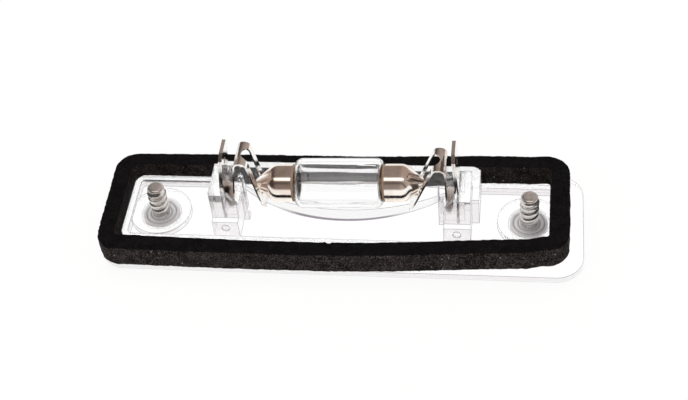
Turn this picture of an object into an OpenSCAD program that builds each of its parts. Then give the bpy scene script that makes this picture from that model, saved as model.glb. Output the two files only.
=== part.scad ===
// Number plate lamp insert: a clear lens plate that carries a festoon bulb in two
// spring contacts, a foam gasket and two captive screws. It lies on its light face.
// Millimetres. X runs along the lamp, +Y to its rear wall, +Z up into the car body.

/* [Lens flange] */
// Length of the flange
plate_l = 105; // [98:1:125]
// Width of the flange
plate_w = 29.5; // [28:0.5:40]
// Corner radius of the flange
plate_r = 6; // [3:0.5:9]
// Thickness of the flange and of the floor
flange_t = 1.5; // [1.2:0.1:2.5]

/* [Locating rim] */
// Height of the rim over the floor
rim_h = 2; // [1.4:0.1:3]
// Wall of the rim
rim_t = 1.4; // [1:0.1:2]
// Flange left outside the rim at each end
seat_side = 4.2; // [3:0.1:5]
// Flange left outside the rim at the rear
seat_rear = 4.75; // [4.2:0.05:6]
// Flange left outside the rim at the front
seat_front = 5.85; // [5:0.05:7]
// Outer corner radius of the rim
rim_r = 2.5; // [1.6:0.1:4]

/* [Rear wall and holders] */
// Distance of the bulb's middle from the middle of the flange
bulb_offset = 0.4; // [0:0.1:0.6]
// Height of the rear wall over the floor
wall_h = 7.25; // [5:0.25:9]
// Thickness of the rear wall
wall_t = 1.8; // [1.2:0.1:2.4]
// Corner radius at the ends of the rear wall
wall_r = 2; // [1:0.1:3]
// Thickness of the gusset that ties a holder to the rear wall
gusset_t = 1.6; // [1:0.1:3]
// Height of a holder over the floor
holder_h = 11.5; // [10:0.25:13]
// Cheek on each side of the contact strip
cheek_t = 1.1; // [0.8:0.1:2]
// Plastic outside the contact leg
holder_back = 2.7; // [2:0.1:4]
// Plastic under the contact foot on the bulb side
holder_lip = 1.2; // [0.9:0.1:1.6]
// Height of the step at the front of a holder
step_h = 4.6; // [3:0.2:7]
// Depth of that step
step_d = 1.4; // [0.8:0.1:1.8]
// Diameter of the ejector pin mark on the step
pin_mark_d = 1.8; // [1:0.1:2.4]
// Height of the stop post under the spring bend
post_h = 12.4; // [8:0.2:13]
// Width of the stop post
post_w = 1.1; // [0.8:0.1:1.2]

/* [Condenser pad] */
// Radius of the curved front edge of the pad
pad_front_r = 36.6; // [33:0.2:44]
// Distance of that edge from the centre line, towards the front
pad_front_y = 0.3; // [0:0.1:3]
// Height of the pad over the floor in the middle
pad_h = 3.4; // [2:0.1:4]
// Radius of the crowned top of the pad
pad_crown_r = 150; // [110:5:300]

/* [Screws] */
// Distance of a screw from the end of the flange
screw_inset = 11.7; // [10.5:0.1:12.5]
// Outer diameter of a screw boss
boss_d = 13.6; // [11:0.2:14]
// Height of a screw boss over the floor
boss_h = 1.3; // [0.8:0.1:1.8]
// Diameter over the thread
thread_d = 4.2; // [3.4:0.1:5]
// Diameter of the neck under the thread, which keeps the screw captive
neck_d = 3; // [2.2:0.1:3.1]
// Play between the neck and its hole
neck_play = 0.3; // [0.1:0.05:0.4]
// Length of the screw over its head
screw_l = 8.9; // [7:0.1:16]
// Chamfer at the blunt tip
tip_chamfer = 0.5; // [0.2:0.1:1]
// Diameter of the head flange
head_d = 8.2; // [7:0.2:9]
// Thickness of the head
head_t = 1.3; // [0.9:0.1:1.3]
// Depth of the counterbore for the head
bore_t = 1.7; // [1.6:0.1:1.9]
// Play round the head
head_play = 0.4; // [0.2:0.1:0.6]
// Arm length of the cross recess
cross_l = 4.4; // [3:0.2:5]
// Arm width of the cross recess
cross_w = 1; // [0.6:0.1:1.4]

/* [Spring contacts] */
// Thickness of the contact strip
strip_t = 0.35; // [0.3:0.05:0.45]
// Width of the contact strip
strip_w = 6.8; // [6:0.1:8]
// Play between the strip and the plastic
strip_play = 0.1; // [0.05:0.05:0.2]
// Distance of the mounting leg from the bulb's tip
leg_gap = 7.3; // [7.1:0.1:8.4]
// Floor plastic under the mounting leg
leg_floor = 3.7; // [2:0.1:6]
// Distance of the foot of the spring from the bulb's tip
foot_tip_gap = 5.4; // [5.1:0.1:5.7]
// Height of that foot over the floor
foot_h = 7.35; // [6.5:0.05:8.5]
// Distance of the foot of the terminal blade from the bulb's tip
blade_gap = 7.1; // [6.9:0.1:7.3]
// Height over the floor at which the two layers of the left blade part
left_split_h = 13; // [12.75:0.25:15]
// Height over the floor at which the two layers of the right blade part
right_split_h = 14; // [12.75:0.25:15]
// Length of a terminal blade over the split
blade_l = 9; // [7:0.2:10]
// Lean of the left blade towards the bulb
left_blade_lean = 6.5; // [0:0.5:9]
// Lean of the right blade towards the bulb
right_blade_lean = 4; // [0:0.5:9]
// Lean of the left spring arm
left_arm_lean = 10.5; // [7:0.5:14]
// Lean of the right spring arm
right_arm_lean = 22; // [15:0.5:23]
// Height of the left spring bend over the floor
left_bend_h = 20.2; // [18:0.1:21]
// Height of the right spring bend over the floor
right_bend_h = 19.6; // [18:0.1:21]
// Inner width of the spring bend
bend_w = 2; // [1.8:0.1:2.2]
// Length of a spring arm under its bend
arm_l = 14.8; // [13:0.2:16]
// Play of the bulb's cone in the window of the arm, on each side
window_play = 0.12; // [0.1:0.02:0.3]
// Diameter of the detent hole in the blade
detent_d = 1.6; // [1:0.1:2.4]
// Corner chamfer of the blade
blade_chamfer = 1.4; // [0.5:0.1:1.8]

/* [Bulb] */
// Length of the bulb from tip to tip
bulb_l = 36.2; // [35.8:0.1:36.8]
// Height of the bulb's axis over the floor
bulb_h = 11.65; // [11:0.05:12.5]
// Tilt of the bulb as it lies in its contacts
bulb_tilt = 2; // [0:0.5:2.5]
// Diameter of the glass
glass_d = 10.7; // [10.3:0.1:11.4]
// Length of a cap with its cone
cap_l = 8.1; // [7.8:0.1:9]
// Wall of the glass
glass_t = 0.6; // [0.4:0.05:1]
// Radius of the shoulders of the glass
shoulder_r = 1.5; // [1:0.1:1.7]
// Diameter of a cap
cap_d = 8.2; // [7.6:0.1:8.5]
// Sheet of a cap
cap_t = 0.3; // [0.2:0.05:0.4]
// Length of the conical end of a cap
cone_l = 3.8; // [3.4:0.1:4.4]
// Radius that rounds the edge between a cap and its cone
cap_round = 3; // [1:0.1:3.4]
// Diameter of the cone at its tip
cone_tip_d = 1.9; // [1.6:0.1:2.2]
// How far the tip of the cone passes through the contact
seat_depth = 0.6; // [0.3:0.1:0.8]
// Width of the cement ring at the rim of a cap
cement_w = 0.5; // [0.3:0.1:0.8]
// Length of the filament coil
filament_l = 8; // [6:0.5:11]
// Outer diameter of the filament coil
filament_d = 0.7; // [0.4:0.1:1]
// Diameter of a lead wire
lead_d = 0.35; // [0.3:0.05:0.5]

/* [Foam gasket] */
// Thickness of the foam
foam_t = 5.3; // [3:0.05:6]
// Width of the foam strip
foam_w = 4; // [3:0.1:4.4]
// Radius at the middle of the strip in each corner
foam_r = 3; // [2.4:0.1:4]
// Gap between the foam and the left end of the rim
foam_gap_left = 0.15; // [0.1:0.05:0.6]
// Length by which the foam rides up on the right end of the rim
foam_ride = 3.1; // [1.6:0.1:4]
// Gap between the foam and the rear of the rim at its corners
foam_gap_rear = 0.1; // [0.1:0.05:0.6]
// Gap between the foam and the front of the rim at the left corner
foam_gap_front_left = 2.05; // [0.3:0.05:2.3]
// Gap between the foam and the front of the rim at the right corner
foam_gap_front_right = 0.1; // [0.05:0.05:0.8]
// Forward bow of the front strip
foam_bow_front = 1; // [0:0.1:2]
// Rearward bow of the rear strip
foam_bow_rear = 0.5; // [0:0.1:1]
// Length over which the foam leaves the flange in a gentle slope
foam_climb = 42; // [20:1:60]
// Share of the rim's height that the foam reaches on that slope
foam_slope_share = 0.6; // [0.3:0.05:0.8]
// Length of the last steep step up to the rim
foam_step = 3.5; // [2:0.5:8]
// Length at the right end, before the rim, that is lifted in full
foam_flat = 1.2; // [1.2:0.2:6]

/* [Hidden] */
$fn = 64;

CLEAR_PC = [0.90, 0.94, 0.95, 0.45];
FOAM_BLACK = [0.09, 0.09, 0.10];
TINNED = [0.72, 0.70, 0.66];
ZINC = [0.66, 0.66, 0.64];
CLEAR_GLASS = [0.80, 0.86, 0.90, 0.35];
NICKEL = [0.66, 0.60, 0.52];
CEMENT = [0.30, 0.16, 0.09];
COPPER = [0.45, 0.16, 0.10];
TUNGSTEN = [0.35, 0.35, 0.37];
SOLDER = [0.62, 0.62, 0.62];

// A cut passes its face by this much
cut = 1;

floor_z = flange_t;
rim_half_l = plate_l/2 - seat_side;
rim_rear_y = plate_w/2 - seat_rear;
rim_front_y = plate_w/2 - seat_front;

screw_x = plate_l/2 - screw_inset;
axis_z = floor_z + bulb_h;
seat_x = bulb_l/2 - seat_depth;
leg_x = bulb_l/2 + leg_gap;
foot_x = bulb_l/2 + foot_tip_gap;
blade_x = bulb_l/2 + blade_gap;
holder_y = strip_w/2 + strip_play + cheek_t;
channel_y = strip_w/2 + strip_play;
holder_in = foot_x - holder_lip;
holder_out = leg_x + holder_back;
holder_top = floor_z + holder_h;
leg_z = floor_z + leg_floor;
foot_z = floor_z + foot_h;
wall_half_l = holder_out + gusset_t;

// Small bends of the strip, on its middle line
foot_gap = 0.8;
foot_bend_r = 0.38;
leg_bend_r = 3;
leg_bend_drop = 5.4;
spring_bend_r = 0.55*(bend_w + strip_t);
layer_gap = 0.06;

boss_top = floor_z + boss_h;
thread_z = boss_top + neck_play;
screw_tip_z = bore_t + screw_l;
cross_depth = 0.7;

cap_in = bulb_l/2 - cap_l;
cone_in = bulb_l/2 - cone_l;
cone_slope = (cap_d - cone_tip_d)/2/cone_l;
neck_in_r = cap_d/2 - cap_t - 0.35;
neck_end = cone_in - 0.6;
shoulder_z = cap_in - cement_w;
solder_h = 0.35;

// Vectors and paths
function unit(v) = v/norm(v);
function left_of(v) = [-v[1], v[0]];
function reversed(list) = [for (i = [len(list) - 1:-1:0]) list[i]];
function joined(lists) = [for (l = lists) each l];

// The arc of radius r that rounds the corner b on the way from a to c
function corner_arc(a, b, c, r, steps) =
    let (back = unit(a - b),
         on = unit(c - b),
         half = acos(max(-1, min(1, back*on)))/2,
         centre = b + unit(back + on)*r/sin(half),
         start = b + back*r/tan(half) - centre,
         side = cross(b - a, c - b) > 0 ? 1 : -1,
         from = atan2(start[1], start[0]),
         sweep = side*(180 - 2*half))
    [for (i = [0:steps]) centre + r*[cos(from + sweep*i/steps), sin(from + sweep*i/steps)]];

// A path with its inner corners rounded; a radius of 0 leaves a corner sharp
function rounded_path(pts, radii, steps = 6) =
    joined([for (i = [0:len(pts) - 1])
        i == 0 || i == len(pts) - 1 || radii[i] == 0
            ? [pts[i]]
            : corner_arc(pts[i - 1], pts[i], pts[i + 1], radii[i], steps)]);

// The direction across the path at point i, long enough for a mitre
function mitre(path, i) =
    let (last = len(path) - 1,
         before = unit(path[max(i, 1)] - path[max(i, 1) - 1]),
         after = unit(path[min(i, last - 1) + 1] - path[min(i, last - 1)]),
         across = unit(left_of(before) + left_of(after)))
    across/(across*left_of(before));

// The outline of a strip of thickness t that follows a path
function strip_outline(path, t) =
    concat([for (i = [0:len(path) - 1]) path[i] + mitre(path, i)*t/2],
           reversed([for (i = [0:len(path) - 1]) path[i] - mitre(path, i)*t/2]));

// Shapes used by several pieces
module rounded_plate(l, w, h, r) {
    translate([-l/2 + r, -w/2, 0]) cube([l - 2*r, w, h]);
    translate([-l/2, -w/2 + r, 0]) cube([l, w - 2*r, h]);
    for (x = [-1, 1], y = [-1, 1])
        translate([x*(l/2 - r), y*(w/2 - r), 0]) cylinder(r = r, h = h);
}

// Extrudes an outline in X and Z by a width along Y
module across_y(width) {
    rotate([90, 0, 0]) linear_extrude(width, center = true) children();
}

// Lens body: one moulding of clear plastic
module flange() {
    rounded_plate(plate_l, plate_w, flange_t, plate_r);
}

module rim() {
    w = rim_rear_y + rim_front_y;
    translate([0, (rim_rear_y - rim_front_y)/2, 0])
        difference() {
            rounded_plate(2*rim_half_l, w, floor_z + rim_h, rim_r);
            translate([0, 0, -cut])
                rounded_plate(2*rim_half_l - 2*rim_t, w - 2*rim_t,
                              floor_z + rim_h + 2*cut, rim_r - rim_t);
        }
}

module rear_wall() {
    top = floor_z + wall_h;
    y0 = rim_rear_y - wall_t;
    translate([-wall_half_l, y0, 0]) cube([2*wall_half_l, wall_t, top - wall_r]);
    translate([-wall_half_l + wall_r, y0, 0]) cube([2*(wall_half_l - wall_r), wall_t, top]);
    for (x = [-1, 1])
        translate([x*(wall_half_l - wall_r), y0, top - wall_r])
            rotate([-90, 0, 0]) cylinder(r = wall_r, h = wall_t);
}

module condenser_pad() {
    reach = holder_in + holder_lip;
    intersection() {
        translate([-reach, -pad_front_y - cut, 0])
            cube([2*reach, rim_rear_y - wall_t/2 + pad_front_y + cut, floor_z + pad_h]);
        translate([0, pad_front_r - pad_front_y, 0])
            cylinder(r = pad_front_r, h = floor_z + pad_h, $fn = 128);
        translate([0, 0, floor_z + pad_h - pad_crown_r])
            rotate([-90, 0, 0]) cylinder(r = pad_crown_r, h = 3*plate_w, center = true, $fn = 256);
    }
}

module holder() {
    slope_top = foot_x + foot_gap/2 + strip_t/2 + strip_play;
    slope_low = foot_z + holder_lip;
    across_y(2*holder_y)
        polygon([[holder_in, 0], [holder_out, 0], [holder_out, holder_top],
                 [slope_top, holder_top], [holder_in, slope_low]]);
    translate([holder_in, -holder_y - step_d, 0])
        cube([holder_out - holder_in, step_d + cheek_t, floor_z + step_h]);
    translate([holder_out - gusset_t, 0, 0])
        cube([2*gusset_t, rim_rear_y - wall_t/2, floor_z + wall_h]);
}

module stop_post() {
    x0 = foot_x - 2.5;
    shoulder = floor_z + post_h - 1.6;
    across_y(1.6)
        polygon([[x0, 0], [x0 + post_w, 0], [x0 + post_w, shoulder],
                 [x0 + post_w/2, floor_z + post_h], [x0, shoulder]]);
}

// What is taken out of a holder for the contact and by the ejector pin
module holder_cuts() {
    slot = strip_t/2 + strip_play;
    translate([holder_in - cut, -channel_y, foot_z])
        cube([leg_x - holder_in + cut, 2*channel_y, holder_h]);
    translate([leg_x - slot, -channel_y, leg_z])
        cube([2*slot, 2*channel_y, holder_h]);
    translate([(holder_in + holder_out)/2, -holder_y - step_d - cut, floor_z + 0.58*step_h])
        rotate([-90, 0, 0]) cylinder(d = pin_mark_d, h = cut + 0.25);
}

module screw_cuts() {
    translate([0, 0, -cut]) cylinder(d = head_d + 2*head_play, h = bore_t + cut);
    translate([0, 0, bore_t - cut/2]) cylinder(d = neck_d + 2*neck_play, h = boss_h + 2*cut);
}

module lens_body() {
    color(CLEAR_PC)
        difference() {
            union() {
                flange();
                rim();
                for (side = [-1, 1])
                    translate([side*screw_x, 0, 0]) cylinder(d = boss_d, h = boss_top);
                translate([bulb_offset, 0, 0]) {
                    rear_wall();
                    condenser_pad();
                    for (side = [0, 1]) mirror([side, 0, 0]) {
                        holder();
                        stop_post();
                    }
                }
            }
            for (side = [0, 1]) {
                translate([bulb_offset, 0, 0]) mirror([side, 0, 0]) holder_cuts();
                mirror([side, 0, 0]) translate([screw_x, 0, 0]) screw_cuts();
            }
        }
}

// Foam gasket: a die-cut ring that lies outside the rim and rides up on its right end
foam_left = -rim_half_l - foam_gap_left - foam_w/2;
foam_right = rim_half_l - foam_ride + foam_w/2;
foam_rear = rim_rear_y + foam_gap_rear + foam_w/2;
foam_front_left = -rim_front_y - foam_gap_front_left - foam_w/2;
foam_front_right = -rim_front_y - foam_gap_front_right - foam_w/2;

foam_corners = [[foam_left, foam_front_left], [foam_right, foam_front_right],
                [foam_right, foam_rear], [foam_left, foam_rear]];
foam_steps = 16;

// The bow of the side that starts at corner i
function foam_bow(i) = i == 0 ? -foam_bow_front : i == 2 ? foam_bow_rear : 0;

// The middle line of the strip, counter-clockwise, with each long side in short steps
function foam_side(i) =
    let (a = foam_corners[(i + 3)%4],
         b = foam_corners[i],
         c = foam_corners[(i + 1)%4],
         d = foam_corners[(i + 2)%4],
         arc = corner_arc(a, b, c, foam_r, 6),
         next = corner_arc(b, c, d, foam_r, 6)[0])
    concat(arc, [for (k = [1:foam_steps - 1])
        arc[6] + (next - arc[6])*k/foam_steps + [0, foam_bow(i)*sin(180*k/foam_steps)]]);
foam_line = joined([for (i = [0:3]) foam_side(i)]);

function foam_across(i) =
    let (n = len(foam_line),
         before = unit(foam_line[i] - foam_line[(i + n - 1)%n]),
         after = unit(foam_line[(i + 1)%n] - foam_line[i]))
    -unit(left_of(before) + left_of(after));

// How far the foam is lifted at x: a gentle slope, then a step up to the rim's height
function eased(k) = let (part = max(0, min(1, k))) part*part*(3 - 2*part);
function foam_lift(x) =
    let (top = rim_half_l - foam_ride - foam_flat,
         foot = top - foam_step)
    rim_h*(foam_slope_share*eased((x - foot + foam_climb)/foam_climb)
        + (1 - foam_slope_share)*eased((x - foot)/foam_step));

function foam_ring_point(i, corner) =
    let (out = foam_across(i),
         p = foam_line[i] + out*(corner == 0 || corner == 3 ? -foam_w/2 : foam_w/2),
         z = floor_z + foam_lift(p[0]) + (corner < 2 ? 0 : foam_t))
    [p[0], p[1], z];

module foam_gasket() {
    n = len(foam_line);
    color(FOAM_BLACK)
        polyhedron(
            points = [for (i = [0:n - 1], c = [0:3]) foam_ring_point(i, c)],
            faces = [for (i = [0:n - 1], c = [0:3], half = [0, 1])
                let (j = (i + 1)%n, d = (c + 1)%4)
                half == 0 ? [4*i + c, 4*j + c, 4*j + d] : [4*i + c, 4*j + d, 4*i + d]],
            convexity = 6);
}

// Spring contact: one strip, folded double for the blade, bent to a foot, a spring
// bend and an arm with a window for the bulb's cone. Drawn for the +X end.
module contact(arm_lean, blade_lean, split_z, bend_z, cone_z) {
    layer = (strip_t + layer_gap)/2;
    lean = [-sin(blade_lean), cos(blade_lean)];
    outward = [cos(blade_lean), sin(blade_lean)];
    blade_base = [blade_x, split_z];
    blade_top = blade_base + lean*blade_l;
    arm_x = seat_x + (bend_z - cone_z)*tan(arm_lean);
    bend_out_x = arm_x + bend_w + strip_t;
    tip_z = bend_z - arm_l*cos(arm_lean);
    tip_x = seat_x + (tip_z - cone_z)*tan(arm_lean);
    foot_mid = foot_z + strip_t/2;
    path = rounded_path(
        [[leg_x, leg_z], [leg_x, split_z - leg_bend_drop], blade_base + outward*layer,
         blade_top + outward*layer, blade_top - outward*layer, blade_base - outward*layer,
         [foot_x + foot_gap/2, foot_mid], [foot_x - foot_gap/2, foot_mid],
         [bend_out_x, bend_z - strip_t/2], [arm_x, bend_z - strip_t/2], [tip_x, tip_z]],
        [0, leg_bend_r, leg_bend_r, 0, 0, leg_bend_r, foot_bend_r, foot_bend_r,
         spring_bend_r, spring_bend_r, 0]);
    // The window lets the cone through at the arm's inner face, and its low edge stays
    // just clear of the cone. It ends in a round on the crest of the bend.
    cone_r = cone_tip_d/2 + cone_slope*(seat_depth + strip_t/2/cos(arm_lean));
    window_w = 2*cone_r/sqrt(1 - pow(cone_slope*tan(arm_lean), 2)) + 2*window_play;
    window_low = cone_z - strip_t - window_play/2
        - (cone_tip_d/2 + cone_slope*seat_depth)/(1 - cone_slope*tan(arm_lean));
    window_end = (arm_x + bend_out_x)/2 + 0.1;
    difference() {
        across_y(strip_w) polygon(strip_outline(path, strip_t));
        translate([0, 0, window_low])
            linear_extrude(bend_z + cut - window_low) hull() {
                translate([window_end - window_w/2, 0]) circle(d = window_w, $fn = 40);
                translate([tip_x - 2, -window_w/2]) square([cut, window_w]);
            }
        for (side = [-1, 1]) {
            tip_taper(tip_x, tip_z, side);
            blade_corner(blade_top, side);
        }
        translate([blade_base[0], 0, blade_base[1]])
            rotate([0, -blade_lean, 0]) translate([0, 0, 0.55*blade_l])
                rotate([0, 90, 0]) cylinder(d = detent_d, h = 3, center = true);
    }
}

// The corner that is cut off each side of the arm's tip
module tip_taper(tip_x, tip_z, side) {
    taper_h = 1.8;
    nose_w = 4.4;
    translate([tip_x - 2, 0, 0])
        rotate([90, 0, 90])
            linear_extrude(4)
                polygon([[side*nose_w/2, tip_z - cut], [side*strip_w, tip_z - cut],
                         [side*strip_w, tip_z + taper_h], [side*strip_w/2, tip_z + taper_h],
                         [side*nose_w/2, tip_z]]);
}

// The chamfer on each top corner of the blade
module blade_corner(top, side) {
    translate([top[0] - 2, side*strip_w/2, top[1] + strip_t/2])
        rotate([45, 0, 0])
            translate([0, -blade_chamfer/sqrt(2), -blade_chamfer/sqrt(2)])
                cube([4, sqrt(2)*blade_chamfer, sqrt(2)*blade_chamfer]);
}

cone_rise = seat_x*tan(bulb_tilt);
module contact_left() {
    color(TINNED) translate([bulb_offset, 0, 0]) mirror([1, 0, 0])
        contact(left_arm_lean, left_blade_lean,
            floor_z + left_split_h, floor_z + left_bend_h, axis_z - cone_rise);
}
module contact_right() {
    color(TINNED) translate([bulb_offset, 0, 0])
        contact(right_arm_lean, right_blade_lean,
            floor_z + right_split_h, floor_z + right_bend_h, axis_z + cone_rise);
}

// Captive screw: a flanged head in the light face, a thin neck and a blunt thread
module screw() {
    color(ZINC)
        difference() {
            union() {
                translate([0, 0, bore_t - head_t]) cylinder(d = head_d, h = head_t);
                translate([0, 0, bore_t - head_t/2])
                    cylinder(d = neck_d, h = screw_tip_z - bore_t);
                translate([0, 0, thread_z])
                    cylinder(d = thread_d, h = screw_tip_z - thread_z - tip_chamfer);
                translate([0, 0, screw_tip_z - tip_chamfer])
                    cylinder(d1 = thread_d, d2 = thread_d - 2*tip_chamfer, h = tip_chamfer);
            }
            for (turn = [0, 90])
                translate([0, 0, bore_t - head_t]) rotate([0, 0, turn])
                    cube([cross_l, cross_w, 2*cross_depth], center = true);
        }
}
module screw_left() { translate([-screw_x, 0, 0]) screw(); }
module screw_right() { translate([screw_x, 0, 0]) screw(); }

// Places a piece of the bulb, which is drawn round Z with the +X end up
module on_bulb_axis(side = 1) {
    translate([bulb_offset, 0, axis_z]) rotate([0, 90 - bulb_tilt, 0])
        rotate([side > 0 ? 0 : 180, 0, 0]) children();
}

// Glass envelope: a blown tube with a shoulder and a closed neck at each end
module bulb_glass() {
    r = glass_d/2;
    color(CLEAR_GLASS)
        on_bulb_axis()
            difference() {
                glass_form(r, neck_in_r, neck_end, shoulder_r, shoulder_z);
                glass_form(r - glass_t, neck_in_r - glass_t, neck_end - glass_t,
                           shoulder_r - glass_t, shoulder_z - glass_t);
                for (end = [-1, 1])
                    translate([0, 0, end*neck_end])
                        cylinder(d = lead_d, h = 4*glass_t, center = true);
            }
}

// The outer or inner form of the glass, as a turned profile
module glass_form(r, neck_r, half_l, round_r, shoulder) {
    steps = 8;
    arc = [for (i = [0:steps]) let (a = 90*i/steps)
        [r - round_r + round_r*cos(a), shoulder - round_r + round_r*sin(a)]];
    half = concat(arc, [[neck_r, shoulder], [neck_r, half_l], [0, half_l]]);
    rotate_extrude()
        polygon(concat(reversed([for (p = half) [p[0], -p[1]]]), half));
}

// Cap: a drawn cup with a conical end
module bulb_cap() {
    r = cap_d/2;
    tip_r = cone_tip_d/2;
    outside = rounded_path([[r, cap_in], [r, cone_in], [tip_r, bulb_l/2]], [0, cap_round, 0]);
    inside = rounded_path(
        [[r - cap_t, cap_in], [r - cap_t, cone_in], [tip_r - cap_t/3, bulb_l/2 - cap_t]],
        [0, cap_round - cap_t, 0]);
    color(NICKEL)
        rotate_extrude()
            polygon(concat(outside, [[lead_d, bulb_l/2], [lead_d, bulb_l/2 - cap_t]],
                           reversed(inside)));
}
module bulb_cap_left() { on_bulb_axis(-1) bulb_cap(); }
module bulb_cap_right() { on_bulb_axis(1) bulb_cap(); }

// Cement that holds the glass neck in the rim of a cap
module bulb_cement() {
    bead_r = cap_d/2 - cap_t/3;
    inside_r = cap_d/2 - cap_t;
    color(CEMENT)
        rotate_extrude()
            polygon([[neck_in_r, shoulder_z], [bead_r, shoulder_z + 0.02], [bead_r, cap_in],
                     [inside_r, cap_in], [inside_r, cap_in + 3*cement_w],
                     [neck_in_r, cap_in + 3*cement_w]]);
}
module bulb_cement_left() { on_bulb_axis(-1) bulb_cement(); }
module bulb_cement_right() { on_bulb_axis(1) bulb_cement(); }

// Lead wire from the solder at the tip, through the closed neck, to the filament
module bulb_lead() {
    color(COPPER)
        translate([0, 0, filament_l/2]) cylinder(d = lead_d, h = bulb_l/2 - filament_l/2);
}
module bulb_lead_left() { on_bulb_axis(-1) bulb_lead(); }
module bulb_lead_right() { on_bulb_axis(1) bulb_lead(); }

module bulb_filament() {
    color(TUNGSTEN) on_bulb_axis() cylinder(d = filament_d, h = filament_l, center = true);
}

// Solder that fills the hole at the tip of a cap
module bulb_solder() {
    color(SOLDER)
        difference() {
            translate([0, 0, bulb_l/2 - cap_t]) cylinder(r = lead_d, h = cap_t + solder_h, $fn = 32);
            translate([0, 0, bulb_l/2 - cap_t - cut]) cylinder(d = lead_d, h = cap_t + cut, $fn = 32);
        }
}
module bulb_solder_left() { on_bulb_axis(-1) bulb_solder(); }
module bulb_solder_right() { on_bulb_axis(1) bulb_solder(); }

lens_body();
foam_gasket();
contact_left();
contact_right();
screw_left();
screw_right();
bulb_glass();
bulb_cap_left();
bulb_cap_right();
bulb_cement_left();
bulb_cement_right();
bulb_lead_left();
bulb_lead_right();
bulb_filament();
bulb_solder_left();
bulb_solder_right();
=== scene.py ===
import bpy
import numpy as np
from mathutils import Matrix


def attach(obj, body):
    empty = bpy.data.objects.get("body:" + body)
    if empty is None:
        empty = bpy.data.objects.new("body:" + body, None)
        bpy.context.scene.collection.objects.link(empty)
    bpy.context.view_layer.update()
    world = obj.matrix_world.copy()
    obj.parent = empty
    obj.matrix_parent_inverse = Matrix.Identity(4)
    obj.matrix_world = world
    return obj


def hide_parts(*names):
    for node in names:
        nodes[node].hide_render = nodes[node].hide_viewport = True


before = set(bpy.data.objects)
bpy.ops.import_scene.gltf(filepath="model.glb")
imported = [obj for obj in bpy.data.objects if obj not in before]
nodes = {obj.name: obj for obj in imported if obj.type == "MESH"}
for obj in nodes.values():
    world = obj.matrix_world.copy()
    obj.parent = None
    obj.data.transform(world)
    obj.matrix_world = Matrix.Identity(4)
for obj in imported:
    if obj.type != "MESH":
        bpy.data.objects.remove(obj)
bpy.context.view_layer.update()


# Lens body: one moulding of clear polycarbonate, here the CAD solid, with a flange, a
# locating rim, a rear wall, two contact holders, two screw bosses and a pad over the
# light window. Its edges and the foot of its pad carry painted shade, dark lines in
# place of refraction, faces toward the front are painted a shade darker, and its flat
# light face is clearer than the rest.
MM = 0.001
EDGE_R = 0.28*MM
PAD_R = 36.6*MM
PAD_Y = 0.3*MM

# Each pair says where a mask starts and ends its change: at a height, a distance or a
# turn of the surface.
EDGE_TURN = (0.015, 0.12)
LIGHT_FACE_Z = (0.2*MM, 0.4*MM)
PAD_FOOT_OFF = (0.12*MM, 0.3*MM)
PAD_FOOT_LOW = (1.2*MM, 1.4*MM)
PAD_FOOT_HIGH = (1.8*MM, 2.2*MM)
PAD_FOOT_SIDE = (9.0*MM, 17.0*MM)
WALL_Y = (7.6*MM, 7.9*MM)
WALL_Z = (3.0*MM, 3.6*MM)
CREST_Y = (7.8*MM, 8.0*MM)
CREST_Z = (8.3*MM, 8.6*MM)
FRONT_TURN = (0.2, 0.8)
FRONT_SIDE = (19.5*MM, 20.5*MM)
FLANGE_Z = (1.3*MM, 1.5*MM)

# The share of the light that refracts, and how much less of it does at the light face.
# The rest goes straight through.
BODY_ALPHA = 0.7
LIGHT_FACE_LESS = 0.55
# CLEAR is the plastic's own tone. The other two are painted shade: a darker tone for faces
# toward the front, and a dark one along edges and round the pad foot.
CLEAR = (0.985, 0.985, 0.99, 1.0)
CLEAR_FRONT_SHADE = (0.78, 0.73, 0.75, 1.0)
CLEAR_EDGE_SHADE = (0.10, 0.08, 0.105, 1.0)


class Value:
    """A number or colour in a shader. Written sums with it add their Math nodes."""

    def __init__(self, shader, socket):
        self.shader = shader
        self.socket = socket

    def maths(self, operation, *values):
        return self.shader.node("Math", {"operation": operation}, dict(enumerate(values)))

    def __add__(self, other):
        return self.maths("ADD", self, other)

    def __radd__(self, other):
        return self.maths("ADD", other, self)

    def __sub__(self, other):
        return self.maths("SUBTRACT", self, other)

    def __rsub__(self, other):
        return self.maths("SUBTRACT", other, self)

    def __mul__(self, other):
        return self.maths("MULTIPLY", self, other)

    def __rmul__(self, other):
        return self.maths("MULTIPLY", other, self)

    def __abs__(self):
        return self.maths("ABSOLUTE", self)

    def root(self):
        return self.maths("SQRT", self)

    def larger(self, other):
        return self.maths("MAXIMUM", self, other)

    def steps(self, low, high):
        """0 below low, 1 above high and smooth between."""
        settings = {"interpolation_type": "SMOOTHSTEP"}
        inputs = {"Value": self, "From Min": low, "From Max": high}
        return self.shader.node("MapRange", settings, inputs)


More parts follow.
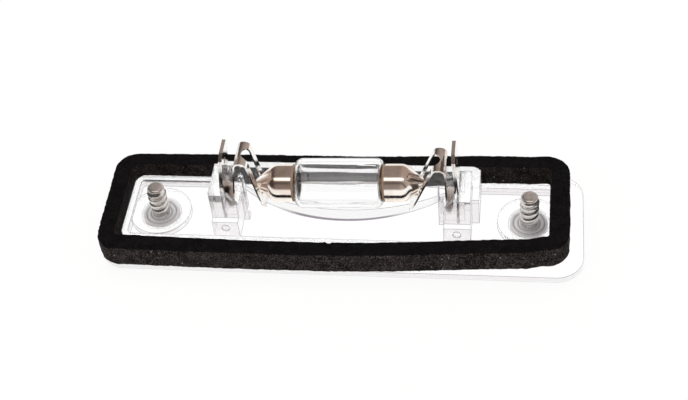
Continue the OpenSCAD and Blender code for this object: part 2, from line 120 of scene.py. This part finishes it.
class Shader:
    """The node tree of one material or of the world."""

    def __init__(self, owner):
        owner.use_nodes = True
        self.owner = owner
        self.tree = owner.node_tree
        self.tree.nodes.clear()

    def node(self, kind, settings=None, inputs=None, out=0):
        """Adds a node: its settings first, then the values or links of its sockets."""
        made = self.tree.nodes.new("ShaderNode" + kind)
        for key, value in (settings or {}).items():
            setattr(made, key, value)
        for key, value in (inputs or {}).items():
            if isinstance(value, Value):
                self.tree.links.new(value.socket, made.inputs[key])
            else:
                made.inputs[key].default_value = value
        return Value(self, made.outputs[out]) if made.outputs else None

    def place(self):
        """Object coordinates in metres."""
        return self.node("TexCoord", out="Object")

    def normal(self):
        """The direction that the surface faces, of length 1."""
        return self.node("NewGeometry", out="Normal")

    def split(self, vector):
        made = self.node("SeparateXYZ", inputs={0: vector})
        outputs = made.socket.node.outputs
        return [Value(self, outputs[axis]) for axis in range(3)]

    def noise(self, scale, detail=2.0, place=None, stretch=None, roughness=0.5):
        place = place or self.place()
        if stretch:
            place = self.node("Mapping", inputs={"Vector": place, "Scale": stretch})
        inputs = {"Vector": place, "Scale": scale, "Detail": detail, "Roughness": roughness}
        return self.node("TexNoise", inputs=inputs)

    def mix(self, factor, first, second):
        """The first colour at factor 0 and the second at 1. A Mix node takes colours at its
        inputs 6 and 7 and gives one at its output 2."""
        inputs = {0: factor, 6: first, 7: second}
        return self.node("Mix", {"data_type": "RGBA"}, inputs, out=2)

    def turned_edge(self, radius):
        """1 along the sharp edges of a piece, 0 a radius away from them."""
        eased = self.node("Bevel", {"samples": 8}, {"Radius": radius})
        settings = {"operation": "DOT_PRODUCT"}
        same = self.node("VectorMath", settings, {0: self.normal(), 1: eased}, out="Value")
        return (1.0 - same).steps(*EDGE_TURN)

    def bump(self, height, distance):
        return self.node("Bump", inputs={"Height": height, "Distance": distance})

    def surface(self, **inputs):
        """Principled BSDF as the material's surface; names are the sockets' own."""
        named = {key.replace("_", " "): value for key, value in inputs.items()}
        return self.node("BsdfPrincipled", inputs=named)

    def finish(self, surface):
        kind = "OutputWorld" if isinstance(self.owner, bpy.types.World) else "OutputMaterial"
        self.node(kind, inputs={"Surface": surface})
        return self.owner


def new_shader(name):
    return Shader(bpy.data.materials.new(name))


def paint(piece, material):
    """Gives every slot of a piece the same material."""
    if not piece.material_slots:
        piece.data.materials.append(material)
    for slot in piece.material_slots:
        slot.material = material


def clear_plastic():
    """Clear plastic with painted shade: dark lines along its edges and round the pad foot
    stand in for refraction, and front faces of the flange and past the light window are
    painted a shade darker. The rear wall only refracts, and its crest is rougher."""
    s = new_shader("clear_polycarbonate")
    flow = s.noise(scale=90.0, detail=3.0)
    x, y, z = s.split(s.place())
    side = abs(x)
    behind = y - (PAD_R - PAD_Y)
    off_arc = (x*x + behind*behind).root() - PAD_R
    # Painted shade: a dark line round the foot of the pad, in place of refraction.
    pad_foot_shade = ((1.0 - abs(off_arc).steps(*PAD_FOOT_OFF))
                * (1.0 - z.steps(*PAD_FOOT_HIGH))*z.steps(*PAD_FOOT_LOW)
                * (1.0 - side.steps(*PAD_FOOT_SIDE)))
    # Painted shade: dark lines along the sharp edges and the pad foot, in place of
    # refraction.
    dark = s.turned_edge(EDGE_R).larger(pad_foot_shade)
    light_face = 1.0 - z.steps(*LIGHT_FACE_Z)
    rear_wall = z.steps(*WALL_Z)*y.steps(*WALL_Y)
    crest = z.steps(*CREST_Z)*y.steps(*CREST_Y)
    # Painted shade on faces that look toward the front, on the holders, bosses and flange.
    forward = 0.0 - s.split(s.normal())[1]
    front = forward.steps(*FRONT_TURN)*(1.0 - rear_wall)
    front = front*side.steps(*FRONT_SIDE).larger(1.0 - z.steps(*FLANGE_Z))
    colour = s.mix(front, CLEAR, CLEAR_FRONT_SHADE)
    whole = dark.larger(rear_wall)
    return s.finish(s.surface(
        Base_Color=s.mix(dark, colour, CLEAR_EDGE_SHADE),
        Roughness=0.01 + 0.02*flow + 0.3*crest,
        IOR=1.4,
        Transmission_Weight=1.0,
        Alpha=BODY_ALPHA + (1 - BODY_ALPHA)*whole - LIGHT_FACE_LESS*light_face,
        Normal=s.bump(flow, distance=0.01*MM)))


paint(nodes["lens_body"], clear_plastic())


# Foam gasket: a ring die-cut from black closed-cell sponge that seals the lamp to the
# body. Its top is the smooth skin, and its cut sides show open cells and ragged edges.
# It lies off centre on the flange and climbs onto the locating rim at the right end.
FOAM_IN = np.array([[-48.45, -10.6], [45.0, -9.35], [45.2, 10.1], [-48.45, 10.1]])*MM
FOAM_OUT = np.array([[-52.2, -15.2], [49.45, -13.5], [49.45, 14.1], [-52.8, 13.9]])*MM
FOAM_IN_R = 0.8*MM
FOAM_OUT_R = 5.0*MM
FOAM_T = 5.3*MM
BOW_IN = -1.15*MM
BOW_OUT = -0.9*MM
BOW_REAR = 0.5*MM

# Steps along a side and round a corner, of the ring and of its section, which is 1 wide
# and 1 high with its edges eased.
RING_STEPS = (260, 20)
SECTION_STEPS = (11, 4)
SECTION_EDGE = 0.06

# How the foam climbs from the flange: a long slope, then a short step onto the rim.
FLOOR_Z = 1.5*MM
RIM_H = 2.0*MM
FOAM_CLIMB = 42.0*MM
FOAM_STEP_X = 40.5*MM
FOAM_STEP = 3.5*MM
SLOPE_SHARE = 0.6
SLOPE_SHARE_REAR = 0.25
REAR_Y = 10.0*MM
DROOP = 0.12
DROOP_Y = 9.0*MM
DROOP_RUN = 3.0*MM

# Where the ragged cut sides and the dipping skin fade in, as shares of the section, how
# deep they go and over what size of cell, and one nick in the front of the opening.
FADE_IN = 1/6
CUT_FROM = 23/30
SKIN_FROM = 5/6
CUT_IN = 0.1*MM
RAGGED_FINE = 0.09*MM
RAGGED_FINE_CELL = 0.55*MM
RAGGED_WIDE = 0.06*MM
RAGGED_WIDE_CELL = 1.7*MM
SKIN_DIP = 0.03*MM
SKIN_CELL = 2.5*MM
NICK_X = -1.3*MM
NICK_W = 0.3*MM
NICK_DEPTH = 0.6*MM
NICK_REACH = 0.1

# Where a tone comes in: at a turn of the surface, at noise levels, or at how far a face
# looks out from the middle of the ring, which is below 0 on the inner walls.
SKIN_TURN = (0.55, 0.85)
INNER_TURN = (-2.0*MM, 2.0*MM)
# The inner walls are painted darker by this share, as painted shade.
INNER_SHADE_SHARE = 0.35
SPECK_LEVELS = (0.44, 0.62)
DUST_LEVELS = (0.74, 0.80)
PORE = (0.003, 0.002, 0.002, 1.0)
CELL_WALL = (0.062, 0.050, 0.047, 1.0)
FOAM_DUST = (0.34, 0.32, 0.31, 1.0)
# Painted shade for the inner walls.
INNER_WALL_SHADE = (0.0045, 0.0038, 0.0042, 1.0)
SKIN_DARK = (0.0025, 0.0021, 0.0023, 1.0)
SKIN_PALE = (0.0085, 0.0072, 0.0077, 1.0)


def ramp(value, start, length):
    """0 up to the start, then straight up to 1 over the length."""
    return np.clip((value - start)/length, 0, 1)


def eased(share):
    """A share with a smooth start and end: three times its square less twice its cube."""
    return share*share*(3 - 2*share)


def rounded_ring(corners, radius, steps, bows=(0, 0, 0, 0)):
    """A closed polygon with its corners turned on arcs, and each side bowed along Y by
    half a sine wave."""
    side_steps, corner_steps = steps
    arcs = []
    count = len(corners)
    for i in range(count):
        before = corners[i - 1] - corners[i]
        after = corners[(i + 1) % count] - corners[i]
        before = before/np.linalg.norm(before)
        after = after/np.linalg.norm(after)
        half_angle = np.arccos(np.clip(before @ after, -1, 1))/2
        middle = before + after
        centre = corners[i] + middle/np.linalg.norm(middle)*radius/np.sin(half_angle)
        start = corners[i] + before*radius/np.tan(half_angle) - centre
        turn = np.linspace(0, np.pi - 2*half_angle, corner_steps)[:, None]
        across = np.array([-start[1], start[0]])
        arcs.append(centre + np.cos(turn)*start + np.sin(turn)*across)
    ring = []
    for i in range(count):
        share = np.linspace(0, 1, side_steps + 2)[1:-1, None]
        side = arcs[i][-1]*(1 - share) + arcs[(i + 1) % count][0]*share
        ring.append(arcs[i])
        ring.append(side + np.sin(np.pi*share)*np.array([0, bows[i]]))
    return np.concatenate(ring)


def lattice_noise(points, size, seed):
    """Smooth noise between -1 and 1: random values on a lattice, blended between."""
    count = 64
    table = np.random.default_rng(seed).uniform(-1, 1, (count, count, count))
    place = points/size
    cell = np.floor(place).astype(int)
    part = eased(place - cell)
    total = np.zeros(points.shape[:-1])
    for corner in np.ndindex(2, 2, 2):
        share = np.prod(np.where(corner, part, 1 - part), axis=-1)
        at = (cell + corner) % count
        total += share*table[at[..., 0], at[..., 1], at[..., 2]]
    return total


def grid_mesh(name, grid, ends=None):
    """A mesh from a grid of points, closed across. It is closed along its rows too,
    unless two end points are given, which the first and the last row then run to."""
    rows, columns = grid.shape[:2]
    points = grid.reshape(-1, 3).tolist()
    column = np.arange(columns)
    next_column = (column + 1) % columns
    row = np.arange(rows - 1 if ends else rows)[:, None]*columns
    next_row = (row + columns) % (rows*columns)
    quads = np.stack([row + column, next_row + column,
                      next_row + next_column, row + next_column], axis=-1)
    faces = quads.reshape(-1, 4).tolist()
    if ends:
        first = len(points)
        last = first + 1
        tail = (rows - 1)*columns
        sides = list(zip(column.tolist(), next_column.tolist()))
        points += [list(end) for end in ends]
        faces += [[first, a, b] for a, b in sides]
        faces += [[tail + a, last, tail + b] for a, b in sides]
    mesh = bpy.data.meshes.new(name)
    mesh.from_pydata(points, [], faces)
    mesh.shade_smooth()
    piece = bpy.data.objects.new(name, mesh)
    bpy.context.scene.collection.objects.link(piece)
    return piece


def make_gasket():
    """The section, from 0 to 1 across and up, carried round between an inner and an outer
    outline. Its foot follows the climb, its cut sides go in and out by lattice noise, and
    the nick is a bell curve along the front of the opening."""
    inner = rounded_ring(FOAM_IN, FOAM_IN_R, RING_STEPS, (BOW_IN, 0, BOW_REAR, 0))
    outer = rounded_ring(FOAM_OUT, FOAM_OUT_R, RING_STEPS, (BOW_OUT, 0, BOW_REAR, 0))
    square = np.array([[0, 0], [1, 0], [1, 1], [0, 1]], dtype=float)
    section = rounded_ring(square, SECTION_EDGE, SECTION_STEPS)
    across = section[:, 0][None, :]
    up = section[:, 1][None, :]
    flat = inner[:, None]*(1 - across[..., None]) + outer[:, None]*across[..., None]
    x = flat[..., 0]
    y = flat[..., 1]
    slope = ramp(x, FOAM_STEP_X - FOAM_CLIMB, FOAM_CLIMB)
    step = ramp(x, FOAM_STEP_X, FOAM_STEP)
    share = SLOPE_SHARE + SLOPE_SHARE_REAR*ramp(y, 0, REAR_Y)
    droop = DROOP*ramp(y, DROOP_Y, DROOP_RUN)
    lift = share*eased(slope) + (1 - share)*eased(step)
    low = FLOOR_Z + RIM_H*lift*(1 - droop)
    grid = np.concatenate([flat, (low + FOAM_T*up)[..., None]], axis=-1)
    outward = outer - inner
    outward = outward/np.linalg.norm(outward, axis=1)[:, None]
    side = (across - 0.5)*2
    cut = ramp(np.abs(side), CUT_FROM, FADE_IN)*np.sign(side)
    ragged = (RAGGED_FINE*lattice_noise(grid, RAGGED_FINE_CELL, seed=3)
              + RAGGED_WIDE*lattice_noise(grid, RAGGED_WIDE_CELL, seed=5))
    nick = np.exp(-((x - NICK_X)/NICK_W)**2)*(y < 0)*(across < NICK_REACH)
    push = (ragged - CUT_IN)*cut + NICK_DEPTH*nick*up
    grid[..., :2] += push[..., None]*outward[:, None]
    dip = SKIN_DIP + SKIN_DIP*lattice_noise(grid, SKIN_CELL, seed=8)
    grid[..., 2] -= ramp(up, SKIN_FROM, FADE_IN)*dip
    return grid_mesh("foam_ring", grid)


def sponge():
    """Open cells as fine specks with a little dust on the cut sides, painted shade on the
    inner walls, which face the middle of the ring, and a dark film on the skin."""
    s = new_shader("black_sponge")
    place = s.place()
    x, y = s.split(place)[:2]
    normal_x, normal_y, normal_z = s.split(s.normal())
    skin = normal_z.steps(*SKIN_TURN)
    inner = 1.0 - (x*normal_x + y*normal_y).steps(*INNER_TURN)
    cells = s.noise(scale=3600.0, detail=2.0, place=place, roughness=0.6)
    patches = s.noise(scale=450.0, detail=2.0, place=place)
    speck = (cells*0.8 + patches*0.2).steps(*SPECK_LEVELS)
    dust = s.noise(scale=1500.0, detail=1.0, place=place).steps(*DUST_LEVELS)
    cut = s.mix(speck, PORE, CELL_WALL)
    cut = s.mix(dust, cut, FOAM_DUST)
    # Painted shade: the inner walls, which face the middle of the ring, turn darker.
    cut = s.mix(INNER_SHADE_SHARE*inner, cut, INNER_WALL_SHADE)
    film = s.mix(speck, SKIN_DARK, SKIN_PALE)
    return s.finish(s.surface(
        Base_Color=s.mix(skin, cut, film),
        Roughness=0.92 - 0.1*skin,
        Specular_IOR_Level=0.08,
        Normal=s.bump(cells*(1 - 0.7*skin), distance=0.12*MM)))


gasket = make_gasket()
paint(gasket, sponge())
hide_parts("foam_gasket")
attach(gasket, "root")


# Spring contacts: tinned bronze strip, folded double for the terminal blade and bent to
# a spring arm whose window takes the cone of the bulb.
TARNISH_LEVELS = (0.5, 0.75)
TIN = (0.93, 0.90, 0.87, 1.0)
TIN_TARNISHED = (0.70, 0.61, 0.55, 1.0)


def tinned_bronze():
    s = new_shader("tinned_bronze")
    rolled = s.noise(scale=400.0, detail=4.0, stretch=(1.0, 8.0, 1.0))
    tarnish = s.noise(scale=160.0, detail=3.0).steps(*TARNISH_LEVELS)
    return s.finish(s.surface(
        Base_Color=s.mix(tarnish, TIN, TIN_TARNISHED),
        Metallic=1.0,
        Roughness=0.07 + 0.1*rolled,
        Normal=s.bump(rolled, distance=0.02*MM)))


contact_metal = tinned_bronze()
for side in ("left", "right"):
    paint(nodes["contact_" + side], contact_metal)


# Screws: two self-tapping screws of zinc-plated steel with a blunt rolled thread. A thin
# neck under the thread keeps each one captive in the lens, and its head with a cross
# recess sits in the counterbore underneath.
SCREW_X = 40.8*MM
SCREW_TIP = 10.6*MM
# The radius of the blunt end at each depth below the tip.
TIP_PROFILE = np.array([[0.5, 0.0], [1.1, 0.0], [1.35, 0.06], [1.62, 0.22], [1.78, 0.42]])*MM
CORE_TOP = SCREW_TIP - 0.65*MM
CORE_R = 1.84*MM
THREAD_R = 2.1*MM
THREAD_TOP = SCREW_TIP - 0.7*MM
THREAD_TOP_RUN = 1.2*MM
THREAD_LOW = 3.1*MM
THREAD_LOW_RUN = 0.8*MM
PITCH = 1.75*MM
RIDGE_HALF = 0.46
RIDGE_FLAT = 1.2
RIDGE_POWER = 1.2
NECK_R = 1.5*MM
NECK_TOP = THREAD_LOW - 0.1*MM
HEAD_R = 4.1*MM
HEAD_LOW = 0.4*MM
HEAD_TOP = 1.65*MM
HEAD_EASE = 0.15*MM
HEAD_LOW_EASE = 0.3*MM
HEAD_FACE_R = HEAD_R - 0.4*MM
HEAD_MIDDLE_R = 0.1*MM
CROSS_ARM = 0.5*MM
CROSS_REACH = 2.2*MM
CROSS_DEPTH = 0.7*MM
ROUND_STEPS = 72
CORE_STEPS = 150
FACE_STEPS = 40

STAIN_LEVELS = (0.45, 0.7)
HEAD_Z = (1.7*MM, 2.1*MM)
# Radii and width of two dark rings painted on the head's face.
HEAD_RINGS = (2.35*MM, 3.35*MM)
RING_OFF = (0.1*MM, 0.26*MM)
ZINC = (0.78, 0.75, 0.72, 1.0)
ZINC_STAINED = (0.56, 0.51, 0.47, 1.0)
# Painted light: the head's paler colour.
ZINC_HEAD_PAINTED_LIGHT = (0.99, 0.975, 0.96, 1.0)
ZINC_RING = (0.26, 0.24, 0.23, 1.0)


def zinc():
    """Stained zinc on the thread; the head is painted paler, as painted light, and is less
    metallic, with two dark rings painted at set radii.
    """
    s = new_shader("zinc_plate")
    grain = s.noise(scale=900.0, detail=4.0)
    stain = s.noise(scale=260.0, detail=2.0).steps(*STAIN_LEVELS)
    x, y, z = s.split(s.place())
    across = abs(x) - SCREW_X
    radius = (across*across + y*y).root()
    # Two dark rings painted on the head at set radii.
    rings = 0
    for ring_radius in HEAD_RINGS:
        rings = rings + 1.0 - abs(radius - ring_radius).steps(*RING_OFF)
    head = 1.0 - z.steps(*HEAD_Z)
    colour = s.mix(stain, ZINC, ZINC_STAINED)
    # Painted light: the head is made paler than the thread.
    colour = s.mix(head, colour, ZINC_HEAD_PAINTED_LIGHT)
    return s.finish(s.surface(
        Base_Color=s.mix(rings*head*0.7, colour, ZINC_RING),
        Metallic=0.85 - 0.85*head,
        Roughness=0.1 + 0.12*grain + 0.2*head,
        Normal=s.bump(grain, distance=0.02*MM)))


def make_screw(name, x, turn):
    """A lathe form from tip to head. The thread is a ridge that follows a helix and fades
    at both ends, and the cross recess is the head's face raised within two arms."""
    profile = [(r, SCREW_TIP - depth) for r, depth in TIP_PROFILE]
    profile += [(CORE_R, z) for z in np.linspace(CORE_TOP, THREAD_LOW, CORE_STEPS)]
    profile += [(NECK_R, NECK_TOP), (NECK_R, HEAD_TOP + HEAD_EASE),
                (NECK_R + HEAD_EASE, HEAD_TOP),
                (HEAD_R - HEAD_EASE, HEAD_TOP), (HEAD_R, HEAD_TOP - HEAD_EASE),
                (HEAD_R, HEAD_LOW + HEAD_LOW_EASE), (HEAD_R - HEAD_LOW_EASE, HEAD_LOW)]
    profile += [(r, HEAD_LOW) for r in np.linspace(HEAD_FACE_R, HEAD_MIDDLE_R, FACE_STEPS)]
    r, z = np.array(profile).T
    angle = np.linspace(0, 2*np.pi, ROUND_STEPS, endpoint=False)[None, :]
    r = np.repeat(r[:, None], ROUND_STEPS, axis=1)
    z = np.repeat(z[:, None], ROUND_STEPS, axis=1)
    phase = (z/PITCH - (angle + turn)/(2*np.pi)) % 1.0
    ridge = np.clip(RIDGE_FLAT*(1 - np.abs(phase - 0.5)/RIDGE_HALF), 0, 1)
    ridge = np.sin(0.5*np.pi*ridge)**RIDGE_POWER
    fade = ramp(THREAD_TOP - z, 0, THREAD_TOP_RUN)*ramp(z - THREAD_LOW, 0, THREAD_LOW_RUN)
    r = r + fade*ridge*(THREAD_R - CORE_R)
    off_x = r*np.cos(angle)
    off_y = r*np.sin(angle)
    cross = np.minimum(np.abs(off_x), np.abs(off_y)) < CROSS_ARM
    cross &= np.maximum(np.abs(off_x), np.abs(off_y)) < CROSS_REACH
    z = z + CROSS_DEPTH*((z <= HEAD_LOW) & cross)
    grid = np.stack([off_x + x, off_y, z], axis=-1)
    return grid_mesh(name, grid, [(x, 0.0, SCREW_TIP), (x, 0.0, HEAD_LOW + CROSS_DEPTH)])


screw_metal = zinc()
for side, x, turn in (("left", -SCREW_X, 0.6), ("right", SCREW_X, 2.4)):
    screw = make_screw("thread_screw_" + side, x, turn)
    paint(screw, screw_metal)
    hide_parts("screw_" + side)
    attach(screw, "root")


# Bulb: a clear blown envelope between two nickel-plated caps, cemented at their rims.
# Inside, two lead wires that are soldered at the cone tips hold the filament.
BROWN_LEVELS = (0.45, 0.7)
GLASS = (0.99, 0.99, 0.99, 1.0)
NICKEL = (0.99, 0.92, 0.86, 1.0)
NICKEL_BROWNED = (0.88, 0.75, 0.66, 1.0)
CEMENT = (0.38, 0.24, 0.15)
LEAD_WIRE = (0.62, 0.58, 0.55)
SOLDER = (0.62, 0.60, 0.58)


def blown_glass():
    """Clear glass with a faint wave drawn out along the bulb's axis."""
    s = new_shader("blown_glass")
    wave = s.noise(scale=650.0, detail=2.0, stretch=(0.02, 1.0, 1.0))
    return s.finish(s.surface(
        Base_Color=GLASS,
        Roughness=0.0,
        IOR=1.5,
        Transmission_Weight=1.0,
        Normal=s.bump(wave, distance=0.04*MM)))


def cap_nickel():
    s = new_shader("cap_nickel")
    drawn = s.noise(scale=300.0, detail=2.0)
    brown = s.noise(scale=150.0, detail=3.0).steps(*BROWN_LEVELS)
    return s.finish(s.surface(
        Base_Color=s.mix(brown, NICKEL, NICKEL_BROWNED),
        Metallic=1.0,
        Roughness=0.1 + 0.12*drawn,
        Normal=s.bump(drawn, distance=0.01*MM)))


def plain_finish(name, colour, metallic, roughness, scale):
    """A simple rough or metallic finish, mottled between its colour and a darker one."""
    s = new_shader(name)
    mottle = s.noise(scale, detail=3.0)
    dark = tuple(0.6*level for level in colour)
    return s.finish(s.surface(
        Base_Color=s.mix(mottle, (*dark, 1.0), (*colour, 1.0)),
        Metallic=metallic,
        Roughness=roughness,
        Normal=s.bump(mottle, distance=0.03*MM)))


paint(nodes["bulb_glass"], blown_glass())
cap_metal = cap_nickel()
cement = plain_finish("cap_cement", CEMENT, metallic=0.0, roughness=0.6, scale=900.0)
lead = plain_finish("lead_wire", LEAD_WIRE, metallic=1.0, roughness=0.35, scale=500.0)
solder = plain_finish("soft_solder", SOLDER, metallic=1.0, roughness=0.4, scale=900.0)
for side in ("left", "right"):
    paint(nodes["bulb_cap_" + side], cap_metal)
    paint(nodes["bulb_cement_" + side], cement)
    paint(nodes["bulb_lead_" + side], lead)
    paint(nodes["bulb_solder_" + side], solder)


# Filament: one fine tungsten wire wound as a coil on the bulb's axis, which leans a
# little. Its two tails run into the ends of the lead wires.
COIL_AT = np.array([0.4, 0.0, 13.15])*MM
COIL_LEAN = np.radians(2.0)
COIL_L = 8.0*MM
COIL_R = 0.3*MM
COIL_TAIL = 0.12*MM
COIL_TAIL_SHARE = 0.1
COIL_TAPER = 0.35*MM
COIL_TURNS = 32
TURN_STEPS = 18
WIRE_R = 0.05*MM
WIRE_STEPS = 8
TUNGSTEN = (0.62, 0.58, 0.58)


def make_filament():
    """A tube round a helix whose radius shrinks to almost nothing at both ends."""
    reach = COIL_L/2 + COIL_TAIL
    along = np.linspace(-reach, reach, TURN_STEPS*COIL_TURNS + 1)[:, None]
    angle = np.pi*COIL_TURNS*along/reach
    axis = np.array([np.cos(COIL_LEAN), 0.0, np.sin(COIL_LEAN)])
    upward = np.array([-np.sin(COIL_LEAN), 0.0, np.cos(COIL_LEAN)])
    radial = np.cos(angle)*np.array([0.0, 1.0, 0.0]) + np.sin(angle)*upward
    taper = np.clip((COIL_L/2 - np.abs(along))/COIL_TAPER, COIL_TAIL_SHARE, 1.0)
    path = COIL_AT + along*axis + COIL_R*taper*radial
    ahead = np.gradient(path, axis=0)
    ahead = ahead/np.linalg.norm(ahead, axis=1)[:, None]
    across = np.cross(radial, ahead)
    across = across/np.linalg.norm(across, axis=1)[:, None]
    outward = np.cross(ahead, across)
    turn = np.linspace(0, 2*np.pi, WIRE_STEPS, endpoint=False)[None, :, None]
    ring = np.cos(turn)*outward[:, None] + np.sin(turn)*across[:, None]
    return grid_mesh("coil_filament", path[:, None] + WIRE_R*ring, [path[0], path[-1]])


filament = make_filament()
tungsten = plain_finish("tungsten_wire", TUNGSTEN, metallic=1.0, roughness=0.4, scale=900.0)
paint(filament, tungsten)
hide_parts("bulb_filament")
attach(filament, "root")


# Studio: a white paper floor that glows where it is seen, an even white sky and one soft
# lamp. Metal and glass reflect a darker room with one bright strip overhead, which gives
# them their streaks, and light through clear pieces sees a pale grey ceiling.
FLOOR_HALF = 3.0
FLOOR_DROP = 0.05*MM
PAPER = (0.9, 0.9, 0.9, 1.0)
PAPER_GLOW = (1.0, 1.0, 0.995, 1.0)
PAPER_GLOW_SHARE = 0.92
PAPER_GLOW_THROUGH = 0.14

# Spans of the sky's direction, a vector of length 1, over which each part starts or ends.
HORIZON_Z = (0.02, 0.14)
ROOM_X = (-0.8, 0.35)
VIEWER_NEAR_Y = (-0.86, -0.7)
VIEWER_FAR_Y = (-0.62, -0.52)
STRIP_NEAR_Y = (-0.54, -0.42)
STRIP_FAR_Y = (-0.27, -0.15)
STRIP_Z = (0.78, 0.86)
CEILING_Z = (0.6, 0.95)
SKY = (1.0, 1.0, 1.0, 1.0)
ROOM_LEFT = (0.05, 0.038, 0.034, 1.0)
ROOM_RIGHT = (0.40, 0.335, 0.30, 1.0)
VIEWER = (0.05, 0.04, 0.035, 1.0)
VIEWER_SHARE = 0.7
STRIP = (1.6, 1.55, 1.5, 1.0)
CEILING = (0.68, 0.63, 0.67, 1.0)


def rays(s, *kinds):
    """For each kind of ray, 1 where the shader answers a ray of that kind, else 0."""
    outputs = s.node("LightPath").socket.node.outputs
    return [Value(s, outputs["Is " + kind + " Ray"]) for kind in kinds]


def studio_floor():
    s = new_shader("studio_floor")
    camera, glossy, through = rays(s, "Camera", "Glossy", "Transmission")
    seen = camera.larger(glossy).larger(through)
    paper = s.node("BsdfDiffuse", inputs={"Color": PAPER})
    strength = 1.0 + PAPER_GLOW_THROUGH*through
    glow = s.node("Emission", inputs={"Color": PAPER_GLOW, "Strength": strength})
    return s.finish(s.node("MixShader", inputs={0: seen*PAPER_GLOW_SHARE, 1: paper, 2: glow}))


def studio_sky():
    s = Shader(bpy.data.worlds.new("studio_sky"))
    camera, diffuse, through = rays(s, "Camera", "Diffuse", "Transmission")
    x, y, z = s.split(s.node("TexCoord", out="Generated"))
    viewer = y.steps(*VIEWER_NEAR_Y)*(1.0 - y.steps(*VIEWER_FAR_Y))
    strip = y.steps(*STRIP_NEAR_Y)*(1.0 - y.steps(*STRIP_FAR_Y))*z.steps(*STRIP_Z)
    room = s.mix(x.steps(*ROOM_X), ROOM_LEFT, ROOM_RIGHT)
    room = s.mix(VIEWER_SHARE*viewer, room, VIEWER)
    room = s.mix(strip, room, STRIP)
    reflected = s.mix(z.steps(*HORIZON_Z), SKY, room)
    refracted = s.mix(z.steps(*CEILING_Z), SKY, CEILING)
    tone = s.mix(through, reflected, refracted)
    tone = s.mix(camera.larger(diffuse), tone, SKY)
    return s.finish(s.node("Background", inputs={"Color": tone, "Strength": 1.0}))


signs = ((-1, -1), (1, -1), (1, 1), (-1, 1))
floor_corners = [(x*FLOOR_HALF, y*FLOOR_HALF, 0) for x, y in signs]
floor_mesh = bpy.data.meshes.new("studio_floor")
floor_mesh.from_pydata(floor_corners, [], [(0, 1, 2, 3)])
floor = bpy.data.objects.new("studio_floor", floor_mesh)
bpy.context.scene.collection.objects.link(floor)
floor.location.z = -FLOOR_DROP
paint(floor, studio_floor())

bpy.context.scene.world = studio_sky()

lamp_data = bpy.data.lights.new("soft_box", "AREA")
lamp_data.shape = "RECTANGLE"
lamp_data.size = 0.5
lamp_data.size_y = 0.25
lamp_data.energy = 1.2
lamp = bpy.data.objects.new("soft_box", lamp_data)
lamp.location = (-0.15, 0.25, 0.6)
lamp.rotation_euler = (-0.4, -0.25, 0.0)
lamp.visible_glossy = False
bpy.context.scene.collection.objects.link(lamp)


# Camera: a short telephoto in front of the lamp and above it, a little to its right. It is
# aimed just behind the middle of the lens and rolled a few degrees.
CAMERA_AT = np.array([39.9, -197.7, 224.3])*MM
AIM = np.array([-0.51, 7.11, 0.0])*MM
ROLL = np.radians(-6.7)
camera_data = bpy.data.cameras.new("view_camera")
camera_data.sensor_width = 36.0
camera_data.lens = 71.3
camera_data.clip_start = 0.01
camera_object = bpy.data.objects.new("view_camera", camera_data)
bpy.context.scene.collection.objects.link(camera_object)
back = (CAMERA_AT - AIM)/np.linalg.norm(CAMERA_AT - AIM)
right = np.cross(-back, (0, 0, 1))
right = right/np.linalg.norm(right)
up = np.cross(right, -back)
pose = np.eye(4)
pose[:3, 0] = right*np.cos(ROLL) + up*np.sin(ROLL)
pose[:3, 1] = up*np.cos(ROLL) - right*np.sin(ROLL)
pose[:3, 2] = back
pose[:3, 3] = CAMERA_AT
camera_object.matrix_world = Matrix(pose.tolist())
bpy.context.scene.camera = camera_object
bpy.context.scene.view_settings.view_transform = "Standard"
